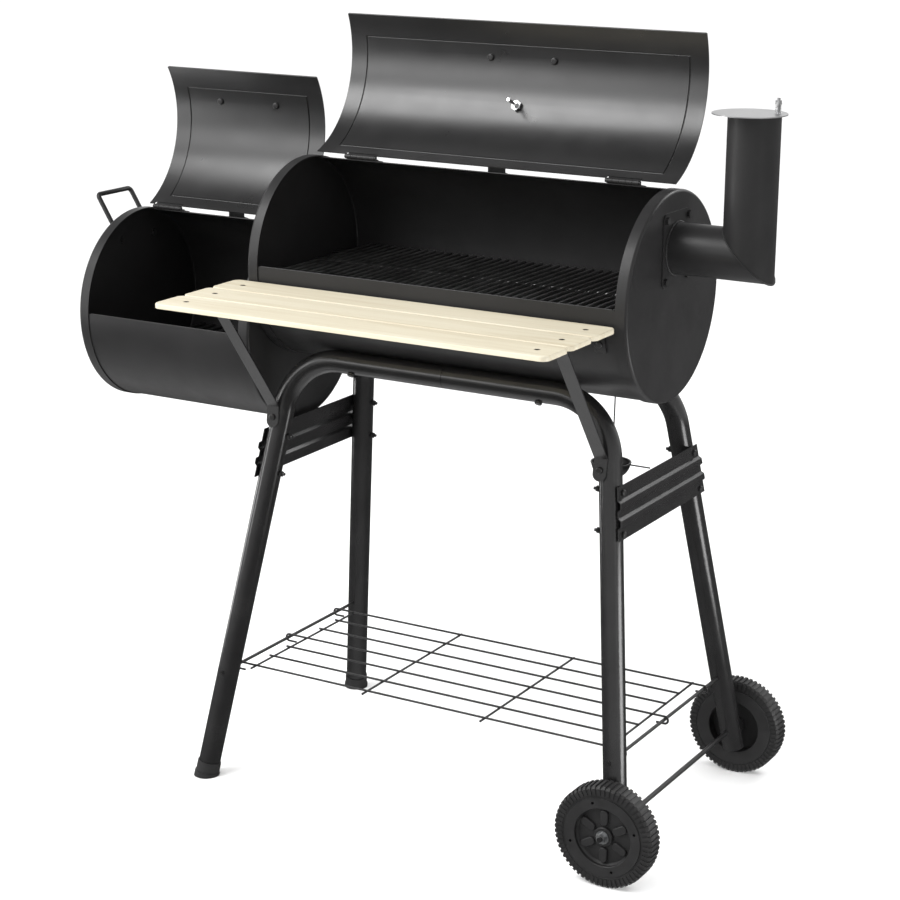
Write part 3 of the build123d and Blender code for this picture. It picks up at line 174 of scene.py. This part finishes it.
def black_coat(name, dark, light, rough, specular, scale, grain, texture):
    """Black paint or moulding: a faint cloud of tone and gloss over a fine surface texture."""
    s = Shader(name)
    s.set(Specular_IOR_Level=specular)
    tint = (1.0, 0.98, 1.0)
    low = tuple(dark * channel for channel in tint)
    high = tuple(light * channel for channel in tint)
    s.colour(s.ramp(s.noise(scale, 5.0, 0.6), (0.3, low), (0.72, high)))
    s.rough(s.spread(s.noise(scale * 2.6, 6.0, 0.65), rough[0], rough[1], 0.3, 0.7))
    s.bump(s.cells(grain), GRAIN_DEPTH, texture)
    return s


def satin_black_paint():
    """High-heat stove paint with a slight ripple of the rolled sheet."""
    s = black_coat(
        "satin_black_paint", dark=0.0135, light=0.0200, rough=(0.33, 0.45), specular=0.27,
        scale=7.0, grain=1000.0, texture=0.2,
    )
    s.bump(s.noise(16.0, 2.0), 0.4 * MM, 0.10)
    return s.material


def lid_black():
    """The lids' paint, smoother and shinier than the barrel's."""
    s = black_coat(
        "lid_black", dark=0.008, light=0.012, rough=(0.27, 0.34), specular=0.62,
        scale=7.0, grain=1000.0, texture=0.15,
    )
    s.bump(s.noise(9.0, 2.0), 0.5 * MM, 0.10)
    return s.material


def frame_black():
    """Semi-gloss powder coat on the tubes and brackets."""
    return black_coat(
        "frame_black", dark=0.009, light=0.014, rough=(0.20, 0.27), specular=0.45,
        scale=18.0, grain=1300.0, texture=0.04,
    ).material


def black_wire():
    """Baked enamel on wire."""
    return black_coat(
        "black_wire", dark=0.008, light=0.014, rough=(0.25, 0.40), specular=0.35,
        scale=25.0, grain=700.0, texture=0.35,
    ).material


def black_fasteners():
    """Blackened steel of bolts, screws and pins."""
    return black_coat(
        "black_fasteners", dark=0.010, light=0.018, rough=(0.28, 0.42), specular=0.45,
        scale=60.0, grain=1500.0, texture=0.35,
    ).material


def black_plastic():
    """Moulded plastic of wheels and feet, with a fine matte grain."""
    return black_coat(
        "black_plastic", dark=0.011, light=0.018, rough=(0.44, 0.58), specular=0.34,
        scale=30.0, grain=1500.0, texture=0.35,
    ).material


def grip_black():
    """Heat-resistant moulding of the lids' grips."""
    return black_coat(
        "grip_black", dark=0.008, light=0.013, rough=(0.40, 0.54), specular=0.36,
        scale=40.0, grain=1300.0, texture=0.35,
    ).material


def tin():
    """Dark painted tin of the drip cup."""
    return black_coat(
        "tin", dark=0.010, light=0.018, rough=(0.30, 0.46), specular=0.40,
        scale=45.0, grain=900.0, texture=0.35,
    ).material


def grey(tone):
    return (tone, tone, tone)


def plated(name, dark, light, rough, scale):
    """Plated steel with faint clouding and fine scratches along X."""
    s = Shader(name)
    s.set(Metallic=1.0)
    s.colour(s.ramp(s.noise(scale, 5.0, 0.6), (0.3, dark), (0.7, light)))
    scratch = s.noise(1.0, 4.0, 0.7, s.stretched((90.0, 900.0, 900.0)))
    clouds = s.noise(scale * 2, 4.0)
    s.rough(s.spread(s.math("ADD", clouds, scratch), rough[0], rough[1], 0.7, 1.3))
    s.bump(scratch, 0.03 * MM, 0.4)
    return s.material


def grate_steel():
    return plated("grate_steel", dark=grey(0.22), light=grey(0.38), rough=(0.30, 0.50), scale=18.0)


def bare_steel():
    return plated("bare_steel", dark=(0.44, 0.44, 0.45), light=grey(0.60), rough=(0.26, 0.42), scale=12.0)


def polished_steel():
    return plated("polished_steel", dark=grey(0.66), light=grey(0.80), rough=(0.10, 0.22), scale=15.0)


def zinc_fasteners():
    return plated("zinc_fasteners", dark=(0.34, 0.35, 0.36), light=grey(0.54), rough=(0.30, 0.46), scale=80.0)


def pale_wood():
    """Pale smooth boards: long grain along X, fine pores, faint cloudy colour."""
    s = Shader("pale_wood")
    s.set(Specular_IOR_Level=0.3)
    grain = s.noise(1.0, 6.0, 0.6, s.stretched((2.2, 46.0, 46.0)), 1.4)
    broad = s.ramp(
        grain, (0.28, (0.50, 0.44, 0.32)), (0.5, (0.57, 0.52, 0.40)), (0.75, (0.62, 0.58, 0.47)),
    )
    pores = s.spread(s.noise(1.0, 3.0, 0.5, s.stretched((18.0, 620.0, 620.0))), 0, 1, 0.60, 0.72)
    s.colour(s.mix(s.math("MULTIPLY", pores, 0.22), broad, (0.38, 0.30, 0.19)))
    s.rough(s.spread(grain, 0.42, 0.56))
    s.bump(grain, 0.2 * MM, 0.2)
    s.bump(pores, 0.08 * MM, 0.3)
    return s.material


def dial_white():
    """Glossy white print under the thermometer's glass."""
    s = Shader("dial_white")
    s.set(Specular_IOR_Level=0.5, Coat_Weight=0.4, Coat_Roughness=0.1)
    s.colour(s.ramp(s.noise(40.0, 3.0), (0.3, (0.74, 0.74, 0.72)), (0.7, (0.80, 0.80, 0.78))))
    s.rough(s.spread(s.noise(200.0, 3.0), 0.3, 0.4))
    return s.material


FINISHES = {
    build.__name__: build()
    for build in (
        satin_black_paint, lid_black, frame_black, black_wire, black_fasteners, black_plastic, grip_black,
        tin, grate_steel, bare_steel, polished_steel, zinc_fasteners, pale_wood, dial_white,
    )
}
for part in frame["record"]["subparts"]:
    node = NODES[part["node"]]
    node.data.materials.clear()
    node.data.materials.append(FINISHES[part["material_slot"]])


# ---------------------------------------------------------------- added pieces
BODIES = {node: body for body, nodes in frame["record"]["behaviour"]["bodies"].items() for node in nodes}
BEAD_SIDES = 12
OFF_AXIS = Vector((0.13, 0.29, 0.95))  # a direction that no bead or rib runs in


def middle(node):
    """Middle of a CAD node's box."""
    low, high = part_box(node)
    return (Vector(low) + Vector(high)) / 2


def add_piece(name, mesh, node, slot):
    """A mesh that rides on the same body as a CAD node."""
    mesh.materials.append(FINISHES[slot])
    piece = bpy.data.objects.new(name, mesh)
    bpy.context.scene.collection.objects.link(piece)
    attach(piece, BODIES[node])


def swept(name, points, radii):
    """Smooth round bead through the points of a closed loop, with its own radius at each."""
    count = len(points)
    builder = bmesh.new()
    rings = []
    for i, point in enumerate(points):
        along = (points[(i + 1) % count] - points[i - 1]).normalized()
        side = along.cross(OFF_AXIS).normalized()
        up = along.cross(side)
        ring = []
        for k in range(BEAD_SIDES):
            turn = 2 * math.pi * k / BEAD_SIDES
            offset = side * math.cos(turn) + up * math.sin(turn)
            ring.append(builder.verts.new(point + offset * radii[i]))
        rings.append(ring)
    for i in range(count):
        ring, following = rings[i], rings[(i + 1) % count]
        for k in range(BEAD_SIDES):
            j = (k + 1) % BEAD_SIDES
            builder.faces.new((ring[k], ring[j], following[j], following[k]))
    bmesh.ops.recalc_face_normals(builder, faces=builder.faces)
    for face in builder.faces:
        face.smooth = True
    mesh = bpy.data.meshes.new(name)
    builder.to_mesh(mesh)
    builder.free()
    return mesh


WELD_RIPPLE = 2.1 * MM
STEPS_PER_RIPPLE = 4
MITRE_BEAD_R = 1.5 * MM
MITRE_PROUD = 0.2 * MM
MITRE_STRETCH = 1.2  # length of the mitre's ellipse over the pipe's round
COLLAR_BEAD_R = 2.2 * MM
COLLAR_PROUD = 0.5 * MM


def weld_swell(step):
    """Radius of a bead over its nominal one: the ripples, and a slow unevenness along it."""
    ripple = 0.14 * math.cos(2 * math.pi * step / STEPS_PER_RIPPLE)
    drift = 0.06 * math.sin(step * 0.31)
    return 0.86 + ripple + drift


def weld(name, path, length, radius, node, slot):
    """Rippled weld bead along a closed path; path maps a turn in radians to a point."""
    steps = max(48, int(length / WELD_RIPPLE) * STEPS_PER_RIPPLE)
    points = [path(2 * math.pi * i / steps) for i in range(steps)]
    radii = [radius * weld_swell(i) for i in range(steps)]
    add_piece(name, swept(name, points, radii), node, slot)


def add_chimney_welds():
    """Beads round the chimney's mitre and where the level run meets its flange."""
    low, high = (Vector(corner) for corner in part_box("chimney_pipe"))
    pipe_r = (high.y - low.y) / 2
    corner = Vector((high.x - pipe_r, (low.y + high.y) / 2, low.z + pipe_r))
    plate_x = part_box("chimney_flange")[1][0]

    def mitre(turn):
        r = pipe_r + MITRE_PROUD
        return corner + Vector((r * math.cos(turn), r * math.sin(turn), -r * math.cos(turn)))

    def collar(turn):
        r = pipe_r + COLLAR_PROUD
        along = plate_x + COLLAR_PROUD
        return Vector((along, corner.y + r * math.cos(turn), corner.z + r * math.sin(turn)))

    pipe_round = 2 * math.pi * pipe_r
    paint = "satin_black_paint"
    weld("weld_mitre", mitre, pipe_round * MITRE_STRETCH, MITRE_BEAD_R, "chimney_pipe", paint)
    weld("weld_collar", collar, pipe_round, COLLAR_BEAD_R, "chimney_flange", paint)


DIAL_MARKS = 25
DIAL_NUMBER_EVERY = 4
DIAL_SWEEP = math.radians(260)
DIAL_EDGE_R = 24.4 * MM
DIAL_NUMBER_R = 17.2 * MM
DIAL_NUMBER_HEIGHT = 4.6 * MM
DIAL_PRINT_UP = 0.5 * MM  # of the print above the middle of the dial's plate
LONG_MARK = (4.2 * MM, 0.7 * MM)
SHORT_MARK = (2.2 * MM, 0.4 * MM)
PRINT_THICK = 0.12 * MM


def dial_frame():
    """Place on the dial's face: Z out of the face, and Y up while the lid stands open."""
    face = middle("thermometer_dial")
    out = (face - middle("thermometer_nut")).normalized()
    across = Vector((-1, 0, 0))
    up = out.cross(across)
    turn = Matrix((across, up, out)).transposed().to_4x4()
    return Matrix.Translation(face + out * DIAL_PRINT_UP) @ turn


def mark_angle(i):
    """Angle of a mark on the dial, clockwise from the lowest number."""
    return math.pi / 2 + DIAL_SWEEP / 2 - DIAL_SWEEP * i / (DIAL_MARKS - 1)


def add_dial_marks():
    """Ring of marks printed on the thermometer's face."""
    place = dial_frame()
    builder = bmesh.new()
    for i in range(DIAL_MARKS):
        length, width = SHORT_MARK if i % DIAL_NUMBER_EVERY else LONG_MARK
        radial = Matrix.Translation((DIAL_EDGE_R - length / 2, 0, 0))
        spot = Matrix.Rotation(mark_angle(i), 4, "Z") @ radial
        size = Matrix.Diagonal((length, width, PRINT_THICK, 1))
        bmesh.ops.create_cube(builder, size=1.0, matrix=place @ spot @ size)
    mesh = bpy.data.meshes.new("dial_marks")
    builder.to_mesh(mesh)
    builder.free()
    add_piece("dial_marks", mesh, "thermometer_dial", "grip_black")


def add_dial_numbers():
    """Generic numbers inside the long marks."""
    place = dial_frame()
    for i in range(0, DIAL_MARKS, DIAL_NUMBER_EVERY):
        number = str(50 + 50 * i // DIAL_NUMBER_EVERY)
        lettering = bpy.data.curves.new("number_" + number, "FONT")
        lettering.body = number
        lettering.size = DIAL_NUMBER_HEIGHT
        lettering.extrude = PRINT_THICK / 2
        lettering.align_x = "CENTER"
        lettering.align_y = "CENTER"
        lettering.resolution_u = 3
        text = bpy.data.objects.new("text_" + number, lettering)
        mesh = bpy.data.meshes.new_from_object(text)
        bpy.data.objects.remove(text)
        turn = mark_angle(i)
        offset = Vector((DIAL_NUMBER_R * math.cos(turn), DIAL_NUMBER_R * math.sin(turn), 0))
        mesh.transform(place @ Matrix.Translation(offset))
        mesh.materials.clear()
        add_piece("dial_number_" + number, mesh, "thermometer_dial", "grip_black")


GRIP_R = 9.0 * MM
GRIP_RIBS = 9
RIB_SPACING = 8.0 * MM
RIB_R = 1.1 * MM
RIB_STEPS = 48


def add_grip_rings(lid):
    """Ribs round the middle of a lid's grip."""
    node = lid + "_handle"
    screws = middle(lid + "_screws")
    low, high = (Vector(corner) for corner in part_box(node))
    out = middle(node) - screws
    out = Vector((0, out.y, out.z)).normalized()
    reach = max((v.co - screws).dot(out) for v in NODES[node].data.vertices)
    centre = screws + out * (reach - GRIP_R)
    side = out.cross(Vector((1, 0, 0)))
    for i in range(GRIP_RIBS):
        x = (low.x + high.x) / 2 + (i - (GRIP_RIBS - 1) / 2) * RIB_SPACING
        ring = []
        for k in range(RIB_STEPS):
            turn = 2 * math.pi * k / RIB_STEPS
            offset = (out * math.cos(turn) + side * math.sin(turn)) * GRIP_R
            ring.append(Vector((x, centre.y + offset.y, centre.z + offset.z)))
        name = f"{lid}_grip_rib_{i}"
        add_piece(name, swept(name, ring, [RIB_R] * RIB_STEPS), node, "grip_black")


add_chimney_welds()
add_dial_marks()
add_dial_numbers()
for lid_name in ("main_lid", "firebox_lid"):
    add_grip_rings(lid_name)


# ---------------------------------------------------------------- floor, light and camera
CENTRE = Vector([(low + high) / 2 for low, high in zip(*cad_box)])
CHIMNEY = middle("chimney_pipe")
LID = middle("main_lid")
LEGS = Vector((CENTRE.x, CENTRE.y, 0.32))

CAMERA_AZIMUTH = math.radians(30.12)
CAMERA_ELEVATION = math.radians(15.72)
CAMERA_ROLL = math.radians(0.4)
CAMERA_DISTANCE = 3.547
CAMERA_AIM = CENTRE + Vector((0.0781, 0.0280, -0.0517))
LENS = 88.48
SENSOR = 36.0
FARTHEST_SEEN = 200.0

FLOOR_HALF = 70.0
FLOOR_DROP = 0.2 * MM  # so that no foot or wheel shares the floor's plane

SKY_STRENGTH = 2.4
SKY_ANGLE = math.radians(110)
SKY_FROM = Vector((-1.2, -0.7, 3.6))

# Brightness of the studio by where a ray goes, and the heights of its direction where it changes.
WALL = 1.0
CEILING = 0.15
GROUND = 0.10
UNDERFOOT = 1.1
WALL_TO_CEILING = (0.35, 0.80)
UNDERFOOT_TO_GROUND = (-0.85, -0.60)
GROUND_TO_WALL = (-0.10, -0.03)


def aimed(location, aim, roll=0.0):
    """World matrix of a light or camera at a place, looking at a point."""
    turn = (Vector(aim) - Vector(location)).to_track_quat("-Z", "Y").to_matrix().to_4x4()
    return Matrix.Translation(location) @ turn @ Matrix.Rotation(roll, 4, "Z")


def add_camera():
    """Camera at the viewing angle of a product picture, from the front right and a little above."""
    direction = Vector((
        math.sin(CAMERA_AZIMUTH) * math.cos(CAMERA_ELEVATION),
        -math.cos(CAMERA_AZIMUTH) * math.cos(CAMERA_ELEVATION),
        math.sin(CAMERA_ELEVATION),
    ))
    camera = bpy.data.objects.new("camera", bpy.data.cameras.new("camera"))
    camera.data.lens = LENS
    camera.data.sensor_width = SENSOR
    camera.data.clip_end = FARTHEST_SEEN
    bpy.context.scene.collection.objects.link(camera)
    camera.matrix_world = aimed(CAMERA_AIM + direction * CAMERA_DISTANCE, CAMERA_AIM, CAMERA_ROLL)
    bpy.context.scene.camera = camera


def softbox(name, azimuth, distance, height, size, radiance, aim):
    """Rectangular soft light at a height over the floor, and round and away from the point it faces.

    Its azimuth is in degrees and measured like the camera's, from the front towards +X.
    """
    turn = math.radians(azimuth)
    light = bpy.data.lights.new(name, "AREA")
    light.shape = "RECTANGLE"
    light.size, light.size_y = size
    light.energy = radiance * math.pi * size[0] * size[1]
    lamp = bpy.data.objects.new(name, light)
    bpy.context.scene.collection.objects.link(lamp)
    location = Vector((aim.x + math.sin(turn) * distance, aim.y - math.cos(turn) * distance, height))
    lamp.matrix_world = aimed(location, aim)


def add_sky_light():
    """Broad soft light from above, the same everywhere on the floor, with no glare of its own."""
    light = bpy.data.lights.new("sky", "SUN")
    light.energy = SKY_STRENGTH
    light.angle = SKY_ANGLE
    lamp = bpy.data.objects.new("sky", light)
    bpy.context.scene.collection.objects.link(lamp)
    lamp.matrix_world = aimed(CENTRE + SKY_FROM, CENTRE)
    lamp.visible_glossy = False


def add_floor():
    """Plain pale floor that gloss doesn't mirror."""
    mesh = bpy.data.meshes.new("floor")
    builder = bmesh.new()
    bmesh.ops.create_grid(builder, x_segments=8, y_segments=8, size=FLOOR_HALF)
    builder.to_mesh(mesh)
    builder.free()
    floor = bpy.data.objects.new("floor", mesh)
    bpy.context.scene.collection.objects.link(floor)
    s = Shader("floor")
    s.colour(s.ramp(s.noise(3.0, 4.0), (0.3, (0.93, 0.93, 0.93)), (0.7, (0.95, 0.95, 0.95))))
    s.set(Roughness=0.8, Specular_IOR_Level=0.2)
    floor.data.materials.append(s.material)
    floor.location.z = -FLOOR_DROP
    floor.visible_glossy = False


def add_world():
    """White studio walls with a dimmer ceiling; gloss sees a dark ground that is lighter underfoot."""
    world = bpy.data.worlds.new("studio")
    world.use_nodes = True
    tree = world.node_tree
    direction = tree.nodes.new("ShaderNodeTexCoord").outputs["Generated"]
    height = tree.nodes.new("ShaderNodeSeparateXYZ")
    tree.links.new(direction, height.inputs[0])

    def graded(heights, at_low, at_high):
        """Value that goes evenly from one to another between two heights."""
        node = tree.nodes.new("ShaderNodeMapRange")
        ends = (("From Min", heights[0]), ("From Max", heights[1]), ("To Min", at_low), ("To Max", at_high))
        for name, number in ends:
            node.inputs[name].default_value = number
        tree.links.new(height.outputs["Z"], node.inputs["Value"])
        return node.outputs["Result"]

    ground = graded(UNDERFOOT_TO_GROUND, UNDERFOOT, GROUND)
    wall = graded(WALL_TO_CEILING, WALL, CEILING)
    above = graded(GROUND_TO_WALL, 0.0, 1.0)
    blend = tree.nodes.new("ShaderNodeMix")
    for index, value in ((0, above), (2, ground), (3, wall)):
        tree.links.new(value, blend.inputs[index])
    background = tree.nodes["Background"].inputs
    background["Color"].default_value = (1, 1, 1, 1)
    tree.links.new(blend.outputs[0], background["Strength"])
    bpy.context.scene.world = world


def add_softboxes():
    """Main light from the front left, strips that edge the pipes and legs, and one light behind."""
    softbox("key", azimuth=-37, distance=2.36, height=LID.z + 1.85, size=(1.8, 1.35), radiance=9.5, aim=LID)
    softbox("key_low", azimuth=-37, distance=2.9, height=LID.z + 0.45, size=(1.8, 0.8), radiance=3.4, aim=LID)
    low = CHIMNEY.z - 0.35
    softbox("left_strip", azimuth=-62, distance=2.8, height=low, size=(0.30, 0.6), radiance=11.0, aim=CHIMNEY)
    softbox("front_strip", azimuth=58, distance=2.8, height=low, size=(0.28, 0.6), radiance=1.5, aim=CHIMNEY)
    softbox("right_strip", azimuth=92, distance=1.3, height=0.25, size=(0.45, 0.44), radiance=10.0, aim=LEGS)
    softbox("back_key", azimuth=148, distance=2.6, height=LID.z + 1.5, size=(1.8, 1.2), radiance=6.0, aim=LID)
    softbox("leg_strip", azimuth=-90, distance=1.5, height=LEGS.z, size=(0.30, 0.6), radiance=7.0, aim=LEGS)


add_camera()
add_world()
add_sky_light()
add_floor()
add_softboxes()
bpy.context.scene.view_settings.view_transform = "Standard"
